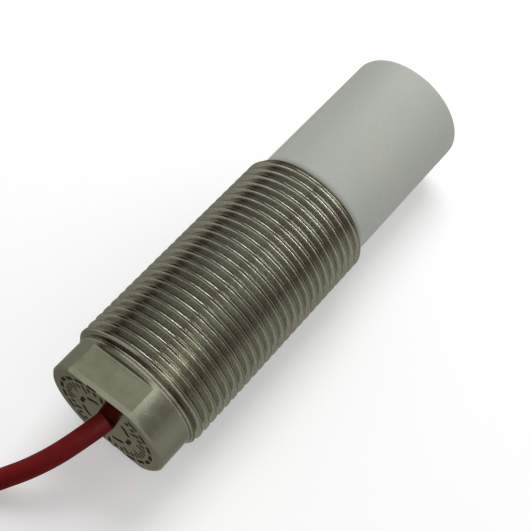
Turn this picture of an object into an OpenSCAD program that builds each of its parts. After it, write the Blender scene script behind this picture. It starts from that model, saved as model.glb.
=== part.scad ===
// Capacitive proximity sensor with a threaded metal barrel and a plastic sensing head.
// +X runs along the barrel towards the sensing face and +Z is up, square to the spanner flats.
// The origin is on the table under the middle of the sensor, which lies on its thread crests.

/* [Thread] */
// Major diameter of the thread, G 1 inch
thread_d = 33.249; // [32.8:0.001:33.4]
// Length of the threaded stretch, with both of its chamfers
thread_l = 59.7; // [58.5:0.1:60.5]

/* [Barrel] */
// Length of the metal barrel from its rear face to its mouth
barrel_l = 68; // [68:0.5:70]
// Diameter of the turned collar behind the thread
collar_d = 30.6; // [30:0.1:30.9]
// Chamfer on the rear edge of the collar
collar_chamfer = 0.4; // [0.2:0.1:0.8]
// Distance across the spanner flats
flats_af = 26; // [25.5:0.5:27.5]
// Length of the spanner flats from the rear face
flats_l = 7.6; // [7:0.1:8]
// Thickness of the rear wall
rear_wall = 3.5; // [3:0.1:3.7]
// Inner diameter of the barrel
bore_d = 26.4; // [26:0.1:26.8]

/* [Sensing head] */
// Diameter of the sensing head
head_d = 30; // [29.6:0.1:30.2]
// Length of the sensing head in front of the barrel
head_l = 40; // [39:0.5:42]
// Radius on the edge of the sensing face
head_round = 1.1; // [0.6:0.1:1.5]
// Thickness of the sensing face
face_t = 3.5; // [3.2:0.1:3.8]
// Length of the shank that sits in the barrel
shank_l = 12; // [11:0.5:13]
// Inner diameter of the sensing head
head_bore_d = 21.6; // [21.6:0.1:22]

/* [Electronics] */
// Width of the main circuit board
board_w = 18; // [17:0.5:18]
// Thickness of the circuit boards
board_t = 1.6; // [1.4:0.1:1.6]

/* [Cable] */
// Diameter of the cable
cable_d = 4.6; // [4.4:0.1:4.6]
// Diameter of each core inside the cable
core_d = 1.3; // [1.1:0.1:1.3]
// Straight length of the folded hank
hank_straight = 56; // [50:1:58]
// Layers of cable in the hank
hank_layers = 5; // [4:1:5]

/* [Hidden] */

// Sides of the turned pieces, overlap of joined solids, and how far cutting solids reach past a piece
steps = 96;
eps = 0.01;
over = 1;

// Stations along the barrel
thread_r = thread_d / 2;
axis_z = thread_r;
total_l = barrel_l + head_l;
rear_x = -total_l / 2;
mouth_x = rear_x + barrel_l;
front_x = mouth_x + head_l;
thread_start_x = mouth_x - thread_l;
run_in_l = 1.7;
run_out_l = 1.3;
run_out_depth = 1.28;
mouth_r = thread_r - run_out_depth;
flat_h = flats_af / 2;
flat_cut_h = 5;
collar_r = collar_d / 2;

// Hollow of the barrel
bore_r = bore_d / 2;
chamber_r = 10.4;
wall_x = rear_x + rear_wall;
chamber_end = 11.5;
step_x = rear_x + chamber_end;
cable_hole_gap = 0.1;
cable_hole_r = cable_d / 2 + cable_hole_gap;
neck_r = 4.2;
neck_wall = 1;
neck_x = rear_x + neck_wall;
bore_lead_in = 0.4;

// Sensing head
head_r = head_d / 2;
head_bore_r = head_bore_d / 2;
shank_x = mouth_x - shank_l;
pocket_x = front_x - face_t;
seal_r = 0.9;
seal_gap = 1.5;
groove_w = 2.4;
groove_pitch = 4.2;
front_groove_at = 5;
front_groove_x = mouth_x - front_groove_at;
rear_groove_x = front_groove_x - groove_pitch;
shank_chamfer = 0.6;
round_steps = 6;

// Electrode stack
electrode_t = 1.2;
electrode_r = 9.8;
electrode_bevel = 0.3;
spacer_t = 2.3;
rim_gap = 0.4;
spacer_x = pocket_x - electrode_t - spacer_t;
pin_r = 0.8;
pin_tail = 1;
bush_r = 2;
bush_l = 3;
bush_flange = 1.2;
guard_wall = 0.5;
guard_r = 10.6;
round_board_at = 17;
round_board_x = mouth_x + round_board_at;
round_board_r = 10.5;
guard_x = round_board_x + board_t;

// Main board and its sleeve
sleeve_r = 10.7;
sleeve_wall = 0.7;
sleeve_gap = 1;
sleeve_x = step_x + sleeve_gap;
holder_r = sleeve_r - sleeve_wall;
board_inset = 5;
board_x = sleeve_x + board_inset;
board_gap = 3;
board_l = round_board_x - board_gap - board_x;
board_top = axis_z + board_t / 2;
board_bottom = axis_z - board_t / 2;
holder_t = 2;
pin_window_h = 4;
lower_window = [8, 4];
lower_window_z = axis_z - 7;

// Pins between the boards, and the strip that holds them
pin_pitch = 2.54;
pin_count = 5;
pin_thick_r = 0.32;
header_size = [2.5, pin_count * pin_pitch, 2.5];
header_x = round_board_x - 6.5;
pin_z = board_top + header_size.z / 2;
pin_reach_rear = 7;
pin_reach_front = 1;

// Legs of the chips
leg_w = 0.42;
leg_l = 0.9;
leg_h = 0.8;
leg_reach = 0.35;
leg_pitch = 1.27;
chip_lift = 0.15;

// Small parts: sizes, and places measured from the axis or from the rear end of the main board
oscillator_chip_size = [1.4, 5, 4];
oscillator_chip_z = axis_z - 5.2;
oscillator_legs = 4;
tuning_size = [1, 2, 3.2];
tuning_y = 4;
tuning_z = axis_z + 4;
signal_chip_size = [8.7, 4, 1.5];
signal_chip_at = 36;
signal_chip_legs = 7;
transistor_size = [6, 6.5, 2.2];
transistor_at = 14;
transistor_tab = [1.6, 5.2, 0.6];
transistor_tab_at = 3.6;
transistor_leg = [2, 0.8, 0.6];
transistor_leg_at = -3.9;
transistor_leg_pitch = 4.56;
regulator_size = [4.5, 2.5, 1.5];
regulator_at = 25;
regulator_y = 4;
regulator_tab = [1.7, 0.9, 0.45];
regulator_tab_y = 5.6;
regulator_leg = [0.45, 1, 0.45];
regulator_leg_y = 2.4;
regulator_leg_pitch = 1.5;
can_at = 22;
can_r = 3;
can_h = 5.4;
can_gap = 0.5;
can_foot = [6.6, 6.6, 0.8];
can_bead_z = 3;
can_bead_w = 0.6;
can_bead_depth = 0.3;
choke_at = 34;
choke_r = 3;
choke_h = 4;
choke_waist_r = 2.3;
choke_flange_t = 0.7;
choke_slope = 0.2;
diode_size = [4.3, 3.6, 2.2];
diode_at = 10;
diode_foot = [0.9, 1.5, 0.5];
diode_foot_reach = 2.5;
chips_at = 44;
resistor_size = [2, 1.25, 0.55];
resistor_pitch = 3.2;
resistor_count = 5;
resistor_y = 5.5;
capacitor_pitch = 3.6;
small_capacitor_size = [1.6, 0.8, 0.8];
small_capacitor_count = 4;
small_capacitor_y = 2;
large_capacitor_size = [2, 1.25, 1.25];
large_capacitor_count = 5;
large_capacitor_y = -3;

// Cable entry, from the rear wall to the crimp
cable_r = cable_d / 2;
core_r = core_d / 2;
grommet_flange_r = 7.5;
grommet_flange_t = 2;
washer_x = wall_x + grommet_flange_t;
washer_t = 0.8;
crimp_x = washer_x + washer_t;
crimp_l = 4;
crimp_r = 3.5;
crimp_groove = 0.35;
crimp_groove_w = 0.8;
crimp_groove_slope = 0.2;
crimp_grooves_at = [0.9, 2.3];
core_ring_r = 1.15;
core_pair_y = 1;
core_pair_z = -0.6;
core_spread = 3.5;
core_z = axis_z + 3.5;
core_reach = 0.8;
core_drop = 0.8;
core_drop_l = 1.8;
core_hole_gap = 0.1;
pad_x = board_x + 6;
pad_l = 2;

// Route of the free cable from the rear face down to the table and on to the hank
cable_route = [
    [-54, 0, 16.62],
    [-56, 0.4, 16.5],
    [-59, 1.5, 15.5],
    [-62, 2.9, 14],
    [-65, 4.6, 12.2],
    [-68, 6.8, 10],
    [-71, 9.4, 7.6],
    [-74, 12.2, 5.5],
    [-77.5, 14.9, 3.9],
    [-82, 17.2, 2.8],
    [-87, 18.3, 2.3],
    [-92, 18.6, 2.3],
    [-97, 18.5, 2.5],
    [-103, 18.4, 2.9],
    [-109.2, 18.4, 2.9]
];

// Hank: an oval winding of two columns of cable, held by two ties
hank_lift = 0.6;
hank_near_x = -108.7;
hank_entry_x = -109.2;
hank_leave_x = -110;
hank_far_x = hank_near_x - hank_straight;
hank_inner_r = 11.5;
hank_outer_r = hank_inner_r + 2 * cable_d;
hank_h = hank_layers * cable_d;
entry_pocket_l = 15;
end_pocket_l = 30;

// Ties round the two straight sides of the hank
tie_w = 4;
tie_t = 0.6;
tie_left_x = -119;
tie_right_x = -150;
tie_lock = [6, 5, 3.6];
tie_lock_shift = 1.5;
tie_tail_l = 1.2;

// Free end of the cable, which lies inside the hank
cable_end_route = [
    [-110, 13.8, 2.9],
    [-115, 13.8, 2.9],
    [-121, 13.8, 2.9],
    [-126, 12.7, 2.7],
    [-131, 10.6, 2.4],
    [-135, 8.9, 2.3],
    [-139, 8, 2.3],
    [-142, 8, 2.3]
];
lead_brown_route = [
    [-142, 8, 3.4], [-145, 7.8, 3.2], [-149, 7.2, 1.8], [-153, 6.8, 0.8], [-158, 6.6, 0.65], [-164, 6.6, 0.65]
];
lead_black_route = [
    [-142, 7, 1.7], [-145, 6.4, 1.4], [-149, 5, 0.9], [-153, 3.6, 0.65], [-158, 2.6, 0.65], [-164, 2.6, 0.65]
];
lead_blue_route = [
    [-142, 9, 1.7], [-145, 9, 1.4], [-149, 9.2, 0.9], [-153, 9.4, 0.65], [-158, 9.4, 0.65], [-163, 9.4, 0.65]
];
tin_r = 0.45;
tin_l = 6;

// Unit vector along v
function unit(v) = v / norm(v);

// Direction of a route at its point i, with the first and last points looking along their own stretch
function route_way(route, i) =
    i == 0 ? unit(route[1] - route[0])
    : i == len(route) - 1 ? unit(route[i] - route[i - 1])
    : unit(unit(route[i + 1] - route[i]) + unit(route[i] - route[i - 1]));

// Ring of points of radius r round point p, square to direction way
function route_ring(p, way, r, sides) =
    let (across = unit(cross(way, [0, 0, 1])), over = cross(across, way))
    [for (k = [0 : sides - 1]) let (a = 360 * (k + 0.5) / sides) p + r * (cos(a) * across + sin(a) * over)];

// Tube of radius r swept along a route, closed at both ends; its first ring looks along start_way
module tube(route, r, sides, start_way) {
    n = len(route);
    ways = [for (i = [0 : n - 1]) i == 0 ? start_way : route_way(route, i)];
    rings = [for (i = [0 : n - 1]) each route_ring(route[i], ways[i], r, sides)];
    walls = [
        for (i = [0 : n - 2], k = [0 : sides - 1])
            let (a = i * sides + k, b = i * sides + (k + 1) % sides)
            each [[a, b, a + sides], [b, b + sides, a + sides]]
    ];
    start_cap = [for (k = [1 : sides - 2]) [0, k + 1, k]];
    end_cap = [for (k = [1 : sides - 2]) (n - 1) * sides * [1, 1, 1] + [0, k, k + 1]];
    polyhedron(points = rings, faces = concat(walls, start_cap, end_cap), convexity = 6);
}

// Children drawn along +Z are laid along +X, on the axis of the barrel, starting at x
module on_axis(x) {
    translate([x, 0, axis_z]) rotate([0, 90, 0]) children();
}

// Cylinder along the axis of the barrel from x0 to x1
module axis_rod(x0, x1, r) {
    on_axis(x0) cylinder(h = x1 - x0, r = r, $fn = steps);
}

// Ring along the axis of the barrel from x0 to x1
module axis_ring(x0, x1, r_in, r_out) {
    difference() {
        axis_rod(x0, x1, r_out);
        axis_rod(x0 - eps, x1 + eps, r_in);
    }
}

// Solid of revolution about the axis of the barrel, from points [radius, x]
module turned(profile) {
    on_axis(0) rotate_extrude($fn = steps) polygon(profile);
}

// Block on the upper face of the main board, centred on [x, y]
module top_block(x, y, size) {
    translate([x - size.x / 2, y - size.y / 2, board_top]) cube(size);
}

// Block on the lower face of the main board, centred on [x, y]
module bottom_block(x, y, size) {
    translate([x - size.x / 2, y - size.y / 2, board_bottom - size.z]) cube(size);
}

// Barrel: one turned piece with a rear wall, spanner flats and a stepped bore. Its outside is the blank
// that the thread is cut in, from the chamfer behind the first crest to the chamfer at the mouth
module barrel() {
    color([0.6, 0.6, 0.54]) difference() {
        turned([
            [0, rear_x],
            [collar_r - collar_chamfer, rear_x],
            [collar_r, rear_x + collar_chamfer],
            [collar_r, thread_start_x],
            [thread_r, thread_start_x + run_in_l],
            [thread_r, mouth_x - run_out_l],
            [mouth_r, mouth_x],
            [0, mouth_x]
        ]);
        axis_rod(step_x, mouth_x + eps, bore_r);
        on_axis(mouth_x - bore_lead_in)
            cylinder(h = bore_lead_in + eps, r1 = bore_r, r2 = bore_r + bore_lead_in + eps, $fn = steps);
        axis_rod(wall_x, step_x + eps, chamber_r);
        axis_rod(neck_x, wall_x + eps, neck_r);
        axis_rod(rear_x - eps, neck_x + eps, cable_hole_r);
        for (side = [-1, 1])
            translate([rear_x, 0, axis_z + side * (flat_h + flat_cut_h / 2)])
                cube([2 * flats_l, 2 * thread_r, flat_cut_h], center = true);
    }
}

// Point i of a quarter round of radius r on the edge of the sensing face
function face_round(i, n, r) =
    let (a = 90 * i / n) [head_r - r + r * cos(a), front_x - r + r * sin(a)];

// Sensing head: a cup with a thick closed face and a shank with two seal grooves
module sensing_head() {
    color([0.86, 0.87, 0.84]) difference() {
        turned(concat(
            [[0, shank_x], [bore_r - shank_chamfer, shank_x], [bore_r, shank_x + shank_chamfer]],
            [[bore_r, mouth_x], [head_r, mouth_x]],
            [for (i = [0 : round_steps]) face_round(i, round_steps, head_round)],
            [[0, front_x]]
        ));
        axis_rod(shank_x - eps, pocket_x, head_bore_r);
        for (x = [front_groove_x, rear_groove_x])
            axis_ring(x, x + groove_w, bore_r - seal_gap, bore_r + over);
    }
}

// Ring seal squeezed between its groove and the bore, centred at x
module seal_ring(x) {
    color([0.1, 0.1, 0.1]) on_axis(x) rotate_extrude($fn = steps)
        translate([bore_r - seal_gap / 2, 0]) intersection() {
            circle(r = seal_r, $fn = 32);
            square([seal_gap, 4 * seal_r], center = true);
        }
}

module front_seal() {
    seal_ring(front_groove_x + groove_w / 2);
}

module rear_seal() {
    seal_ring(rear_groove_x + groove_w / 2);
}

// Sensing electrode: a disc behind the sensing face with a bevelled rim
module sensing_electrode() {
    color([0.8, 0.62, 0.3]) turned([
        [0, pocket_x - electrode_t],
        [electrode_r - electrode_bevel, pocket_x - electrode_t],
        [electrode_r, pocket_x - electrode_t + electrode_bevel],
        [electrode_r, pocket_x],
        [0, pocket_x]
    ]);
}

// Spacer between the electrode and the guard, with a rim that centres the electrode
module electrode_spacer() {
    color([0.9, 0.88, 0.8]) difference() {
        axis_rod(spacer_x, pocket_x - rim_gap, head_bore_r);
        axis_rod(pocket_x - electrode_t, pocket_x, electrode_r);
        axis_rod(spacer_x - eps, pocket_x, pin_r);
    }
}

// Guard: a drawn cup that shields the sensing electrode from behind
module guard_cup() {
    color([0.78, 0.6, 0.28]) difference() {
        axis_rod(guard_x, spacer_x, guard_r);
        axis_rod(guard_x - eps, spacer_x - guard_wall, guard_r - guard_wall);
        axis_rod(guard_x, spacer_x + eps, bush_r);
    }
}

// Insulating bush between the contact pin and the guard
module pin_bush() {
    color([0.85, 0.82, 0.7]) turned([
        [pin_r, spacer_x - bush_l],
        [bush_r + bush_flange, spacer_x - bush_l],
        [bush_r + bush_flange, spacer_x - guard_wall],
        [bush_r, spacer_x - guard_wall],
        [bush_r, spacer_x],
        [pin_r, spacer_x]
    ]);
}

// Contact pin from the oscillator board to the sensing electrode
module contact_pin() {
    color([0.85, 0.7, 0.35]) axis_rod(round_board_x - pin_tail, pocket_x - electrode_t, pin_r);
}

// Places of the pins across the board
function pin_y(i) = (i - (pin_count - 1) / 2) * pin_pitch;

// Round oscillator board on the front end of the sleeve
module oscillator_board() {
    color([0.12, 0.36, 0.2]) difference() {
        axis_rod(round_board_x, guard_x, round_board_r);
        axis_rod(round_board_x - eps, guard_x + eps, pin_r);
        for (i = [0 : pin_count - 1])
            translate([round_board_x - eps, pin_y(i), pin_z]) rotate([0, 90, 0])
                cylinder(h = board_t + 2 * eps, r = pin_thick_r, $fn = 24);
    }
}

// Oscillator chip on the front of the round board, with gull-wing legs on both sides
module oscillator_chip() {
    color([0.13, 0.13, 0.14]) union() {
        translate([guard_x + chip_lift + oscillator_chip_size.x / 2, 0, oscillator_chip_z])
            cube(oscillator_chip_size, center = true);
        for (side = [-1, 1], i = [0 : oscillator_legs - 1])
            translate([
                guard_x + leg_h / 2,
                (i - (oscillator_legs - 1) / 2) * leg_pitch,
                oscillator_chip_z + side * (oscillator_chip_size.z / 2 + leg_reach)
            ])
                cube([leg_h, leg_w, leg_l], center = true);
    }
}

// Pair of tuning capacitors on the front of the round board
module tuning_capacitors() {
    color([0.7, 0.6, 0.42]) for (side = [-1, 1])
        translate([guard_x, side * tuning_y - tuning_size.y / 2, tuning_z]) cube(tuning_size);
}

// Pins that join the main board to the round board
module board_pins() {
    color([0.8, 0.78, 0.7]) for (i = [0 : pin_count - 1])
        translate([round_board_x - pin_reach_rear, pin_y(i), pin_z]) rotate([0, 90, 0])
            cylinder(h = pin_reach_rear + board_t + pin_reach_front, r = pin_thick_r, $fn = 24);
}

// Strip that holds the pins on the main board
module pin_header() {
    color([0.15, 0.15, 0.16]) difference() {
        translate([header_x, -header_size.y / 2, board_top]) cube(header_size);
        for (i = [0 : pin_count - 1])
            translate([header_x - eps, pin_y(i), pin_z]) rotate([0, 90, 0])
                cylinder(h = header_size.x + 2 * eps, r = pin_thick_r, $fn = 24);
    }
}

// Main board, which stands along the axis of the barrel
module main_board() {
    color([0.12, 0.4, 0.22]) translate([board_x, -board_w / 2, board_bottom])
        cube([board_l, board_w, board_t]);
}

// Rear holder: a disc with a slot for the board and holes for the cores
module rear_board_holder() {
    color([0.25, 0.25, 0.27]) difference() {
        axis_rod(board_x, board_x + holder_t, holder_r);
        translate([board_x - eps, -board_w / 2, board_bottom]) cube([holder_t + 2 * eps, board_w, board_t]);
        for (side = [-1, 0, 1])
            translate([board_x - eps, side * core_spread, core_z]) rotate([0, 90, 0])
                cylinder(h = holder_t + 2 * eps, r = core_r + core_hole_gap, $fn = 24);
    }
}

// Front holder: a ring with a slot for the board and a window for the pins
module front_board_holder() {
    x = board_x + board_l - holder_t;
    color([0.25, 0.25, 0.27]) difference() {
        axis_rod(x, x + holder_t, holder_r);
        translate([x - eps, -board_w / 2, board_bottom]) cube([holder_t + 2 * eps, board_w, board_t]);
        translate([x - eps, -header_size.y / 2, board_top - eps])
            cube([holder_t + 2 * eps, header_size.y, pin_window_h]);
        translate([x - eps, -lower_window.x / 2, lower_window_z])
            cube([holder_t + 2 * eps, lower_window.x, lower_window.y]);
    }
}

// Insulating sleeve round the main board
module board_sleeve() {
    color([0.92, 0.9, 0.84]) axis_ring(sleeve_x, round_board_x, holder_r, sleeve_r);
}

// Small-outline package on the upper face of the main board, with its legs
module leaded_chip(x, size, legs) {
    leg_y = size.y / 2 + leg_reach;
    translate([x - size.x / 2, -size.y / 2, board_top + chip_lift]) cube(size);
    for (side = [-1, 1], i = [0 : legs - 1])
        translate([x + (i - (legs - 1) / 2) * leg_pitch, side * leg_y, board_top + leg_h / 2])
            cube([leg_w, leg_l, leg_h], center = true);
}

module signal_chip() {
    color([0.13, 0.13, 0.14]) leaded_chip(board_x + signal_chip_at, signal_chip_size, signal_chip_legs);
}

// Output transistor: a package with a wide cooling tab and two legs
module output_transistor() {
    x = board_x + transistor_at;
    color([0.14, 0.14, 0.15]) union() {
        top_block(x, 0, transistor_size);
        top_block(x + transistor_tab_at, 0, transistor_tab);
        for (side = [-1, 1])
            top_block(x + transistor_leg_at, side * transistor_leg_pitch / 2, transistor_leg);
    }
}

// Voltage regulator: a small package with one tab and three legs
module voltage_regulator() {
    x = board_x + regulator_at;
    color([0.14, 0.14, 0.15]) union() {
        top_block(x, regulator_y, regulator_size);
        top_block(x, regulator_tab_y, regulator_tab);
        for (i = [-1, 0, 1]) top_block(x + i * regulator_leg_pitch, regulator_leg_y, regulator_leg);
    }
}

// Filter capacitor: a can on a square foot, on the lower face of the board
module filter_capacitor() {
    x = board_x + can_at;
    color([0.75, 0.76, 0.78]) union() {
        bottom_block(x, 0, can_foot);
        translate([x, 0, board_bottom - can_h]) difference() {
            cylinder(h = can_h - can_gap, r = can_r, $fn = 48);
            translate([0, 0, can_bead_z]) difference() {
                cylinder(h = can_bead_w, r = can_r + over, $fn = 48);
                cylinder(h = can_bead_w, r = can_r - can_bead_depth, $fn = 48);
            }
        }
    }
}

// Choke: a flanged bobbin on the lower face of the board
module choke_coil() {
    slope_end = choke_flange_t + choke_slope;
    color([0.28, 0.2, 0.16]) translate([board_x + choke_at, 0, board_bottom - choke_h])
        rotate_extrude($fn = 48) polygon([
            [0, 0],
            [choke_r, 0],
            [choke_r, choke_flange_t],
            [choke_waist_r, slope_end],
            [choke_waist_r, choke_h - slope_end],
            [choke_r, choke_h - choke_flange_t],
            [choke_r, choke_h],
            [0, choke_h]
        ]);
}

module protection_diode() {
    x = board_x + diode_at;
    color([0.16, 0.16, 0.17]) union() {
        bottom_block(x, 0, diode_size);
        for (side = [-1, 1]) bottom_block(x + side * diode_foot_reach, 0, diode_foot);
    }
}

// Chip resistors in two rows on the upper face of the board
module chip_resistors() {
    color([0.1, 0.1, 0.11]) for (i = [0 : resistor_count - 1], side = [-1, 1])
        top_block(board_x + chips_at + i * resistor_pitch, side * resistor_y, resistor_size);
}

// Chip capacitors in a row on each face of the board
module chip_capacitors() {
    color([0.68, 0.58, 0.42]) union() {
        for (i = [0 : small_capacitor_count - 1])
            top_block(board_x + chips_at + i * capacitor_pitch, small_capacitor_y, small_capacitor_size);
        for (i = [0 : large_capacitor_count - 1])
            bottom_block(board_x + chips_at + i * capacitor_pitch, large_capacitor_y, large_capacitor_size);
    }
}

// Cores inside the barrel, from the end of the sheath through the rear holder to the board
function core_route(y0, z0, y1) = [
    [sleeve_x, y0, axis_z + z0],
    [sleeve_x + core_reach, y0, axis_z + z0],
    [board_x - core_reach, y1, core_z],
    [board_x + holder_t + core_reach, y1, core_z],
    [board_x + holder_t + core_drop_l, y1, core_z - core_drop],
    [pad_x, y1, board_top + core_r],
    [pad_x + pad_l, y1, board_top + core_r]
];

module core_brown() {
    color([0.36, 0.2, 0.1]) tube(core_route(0, core_ring_r, 0), core_r, 8, [1, 0, 0]);
}

module core_black() {
    color([0.08, 0.08, 0.08]) tube(core_route(-core_pair_y, core_pair_z, -core_spread), core_r, 8, [1, 0, 0]);
}

module core_blue() {
    color([0.1, 0.25, 0.55]) tube(core_route(core_pair_y, core_pair_z, core_spread), core_r, 8, [1, 0, 0]);
}

// Resin that seals the cable entry and fills the space between the sleeve and the barrel
module resin_filling() {
    crimp_end_x = crimp_x + crimp_l;
    color([0.2, 0.2, 0.18]) turned([
        [crimp_r, crimp_x],
        [chamber_r, crimp_x],
        [chamber_r, step_x],
        [bore_r, step_x],
        [bore_r, shank_x],
        [sleeve_r, shank_x],
        [sleeve_r, sleeve_x],
        [cable_r, sleeve_x],
        [cable_r, crimp_end_x],
        [crimp_r, crimp_end_x]
    ]);
}

// Points of one pressed groove of the crimp ring that starts at x
function crimp_groove_points(x) = [
    [crimp_r, x],
    [crimp_r - crimp_groove, x + crimp_groove_slope],
    [crimp_r - crimp_groove, x + crimp_groove_w - crimp_groove_slope],
    [crimp_r, x + crimp_groove_w]
];

// Crimp ring on the sheath, with two pressed grooves
module crimp_ring() {
    color([0.7, 0.7, 0.66]) turned(concat(
        [[cable_r, crimp_x], [crimp_r, crimp_x]],
        [for (at = crimp_grooves_at) each crimp_groove_points(crimp_x + at)],
        [[crimp_r, crimp_x + crimp_l], [cable_r, crimp_x + crimp_l]]
    ));
}

module clamp_washer() {
    color([0.72, 0.72, 0.7]) axis_ring(washer_x, crimp_x, cable_hole_r, grommet_flange_r);
}

// Grommet: a neck in the rear wall and a flange on its inner face
module cable_grommet() {
    color([0.09, 0.09, 0.09]) turned([
        [cable_r, neck_x],
        [neck_r, neck_x],
        [neck_r, wall_x],
        [grommet_flange_r, wall_x],
        [grommet_flange_r, washer_x],
        [cable_r, washer_x]
    ]);
}

// Sheath of the cable inside the barrel
module cable_entry() {
    color([0.35, 0.09, 0.1]) axis_rod(rear_x, sleeve_x, cable_r);
}

module cable() {
    color([0.35, 0.09, 0.1]) tube(cable_route, cable_r, 12, [-1, 0, 0]);
}

// Flat outline with round ends, of half width r
module hank_outline(r) {
    for (x = [hank_near_x, hank_far_x]) translate([x, 0]) circle(r = r, $fn = steps);
    translate([hank_far_x, -r]) square([hank_straight, 2 * r]);
}

// Folded length of the cable as one solid, with pockets where its first and last turns leave it
module cable_hank() {
    color([0.35, 0.09, 0.1]) difference() {
        translate([0, 0, hank_lift]) linear_extrude(height = hank_h) difference() {
            hank_outline(hank_outer_r);
            hank_outline(hank_inner_r);
        }
        translate([hank_entry_x, hank_outer_r - cable_d, 0])
            cube([entry_pocket_l, cable_d + over, hank_lift + cable_d]);
        translate([hank_leave_x - end_pocket_l, 0, 0])
            cube([end_pocket_l, hank_inner_r + cable_d, hank_lift + cable_d]);
    }
}

// Band round one straight side of the hank, with its lock on top and the trimmed tail beside the lock
module hank_tie(x, side) {
    inner = [2 * cable_d, hank_h];
    outer = inner + [2 * tie_t, 2 * tie_t];
    middle = [x, side * (hank_inner_r + cable_d), hank_lift + hank_h / 2];
    tail_y = tie_lock_shift - (tie_lock.y + tie_tail_l) / 2 + eps;
    color([0.12, 0.12, 0.12]) translate(middle) union() {
        difference() {
            cube([tie_w, outer.x, outer.y], center = true);
            cube([tie_w + over, inner.x, inner.y], center = true);
        }
        translate([0, side * tie_lock_shift, (outer.y + tie_lock.z) / 2 - eps]) cube(tie_lock, center = true);
        translate([0, side * tail_y, (outer.y + tie_lock.z) / 2])
            cube([tie_w, tie_tail_l, tie_t], center = true);
    }
}

module hank_tie_left() {
    hank_tie(tie_left_x, 1);
}

module hank_tie_right() {
    hank_tie(tie_right_x, -1);
}

module cable_end() {
    color([0.35, 0.09, 0.1]) tube(cable_end_route, cable_r, 12, [-1, 0, 0]);
}

module lead_brown() {
    color([0.36, 0.2, 0.1]) tube(lead_brown_route, core_r, 8, [-1, 0, 0]);
}

module lead_black() {
    color([0.08, 0.08, 0.08]) tube(lead_black_route, core_r, 8, [-1, 0, 0]);
}

module lead_blue() {
    color([0.1, 0.25, 0.55]) tube(lead_blue_route, core_r, 8, [-1, 0, 0]);
}

// Tinned strands on the ends of the three leads
module tinned_ends() {
    color([0.75, 0.75, 0.73]) for (route = [lead_brown_route, lead_black_route, lead_blue_route])
        translate(route[len(route) - 1]) rotate([0, -90, 0]) cylinder(h = tin_l, r = tin_r, $fn = 24);
}

barrel();
sensing_head();
front_seal();
rear_seal();
sensing_electrode();
electrode_spacer();
guard_cup();
pin_bush();
contact_pin();
oscillator_board();
oscillator_chip();
tuning_capacitors();
board_pins();
pin_header();
main_board();
front_board_holder();
rear_board_holder();
board_sleeve();
signal_chip();
output_transistor();
voltage_regulator();
filter_capacitor();
choke_coil();
protection_diode();
chip_resistors();
chip_capacitors();
core_brown();
core_black();
core_blue();
resin_filling();
crimp_ring();
clamp_washer();
cable_grommet();
cable_entry();
cable();
cable_hank();
hank_tie_left();
hank_tie_right();
cable_end();
lead_brown();
lead_black();
lead_blue();
tinned_ends();
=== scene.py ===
import math

import bmesh
import bpy
import numpy as np
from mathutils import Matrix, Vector


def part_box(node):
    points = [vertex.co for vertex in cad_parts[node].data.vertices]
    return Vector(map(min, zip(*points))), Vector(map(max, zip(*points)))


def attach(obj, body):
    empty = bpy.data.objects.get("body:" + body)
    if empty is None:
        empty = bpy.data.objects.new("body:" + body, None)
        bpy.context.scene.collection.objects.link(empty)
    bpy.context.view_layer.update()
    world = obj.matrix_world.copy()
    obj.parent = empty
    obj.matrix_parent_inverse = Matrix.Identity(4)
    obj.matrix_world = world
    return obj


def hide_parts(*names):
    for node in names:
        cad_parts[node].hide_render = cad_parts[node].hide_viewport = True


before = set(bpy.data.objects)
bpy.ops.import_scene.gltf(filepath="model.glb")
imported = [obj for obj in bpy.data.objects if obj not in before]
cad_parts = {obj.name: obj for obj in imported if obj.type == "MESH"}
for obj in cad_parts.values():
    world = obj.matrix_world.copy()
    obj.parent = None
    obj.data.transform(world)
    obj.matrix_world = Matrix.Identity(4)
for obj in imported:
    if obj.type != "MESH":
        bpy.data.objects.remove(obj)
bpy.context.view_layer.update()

MM = 0.001
ROOT = "root"

# Places taken from the frame
BARREL_LOW, BARREL_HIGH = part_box("barrel")
HEAD_LOW, HEAD_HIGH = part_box("sensing_head")
REAR_X = BARREL_LOW.x
MOUTH_X = BARREL_HIGH.x
FRONT_X = HEAD_HIGH.x
AXIS_Z = (BARREL_LOW.z + BARREL_HIGH.z) / 2
THREAD_R = (BARREL_HIGH.z - BARREL_LOW.z) / 2

# Thread: 55 degree form with flat crests and round roots
PITCH = 2.309 * MM
THREAD_DEPTH = 1.479 * MM
FLANK_ANGLE = math.radians(27.5)
CREST_HALF = 0.33 * MM
CREST_FRONT_R = 0.22 * MM
CREST_REAR_R = 0.07 * MM
# Middle of one crest, where it passes the top of the barrel
CREST_X = -43.31 * MM
THREAD_START_X = MOUTH_X - 59.7 * MM
TURN_STEPS = 160

# Turned and milled forms of the barrel
COLLAR_R = 15.3 * MM
COLLAR_CHAMFER = 0.5 * MM
RUN_IN_L = 1.7 * MM
RUN_OUT_L = 1.3 * MM
MOUTH_R = THREAD_R - 1.28 * MM
FLAT_H = 13 * MM
FLATS_L = 7.6 * MM
FLAT_CHAMFER_L = 1.1 * MM
FLAT_CHAMFER_H = 0.6 * MM
FLAT_FILLET = 0.3 * MM
BORE_R = 13.2 * MM
BORE_LEAD_IN = 0.4 * MM
CHAMBER_R = 10.4 * MM
STEP_X = REAR_X + 11.5 * MM
WALL_X = REAR_X + 3.5 * MM
CABLE_HOLE_R = 2.4 * MM

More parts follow.
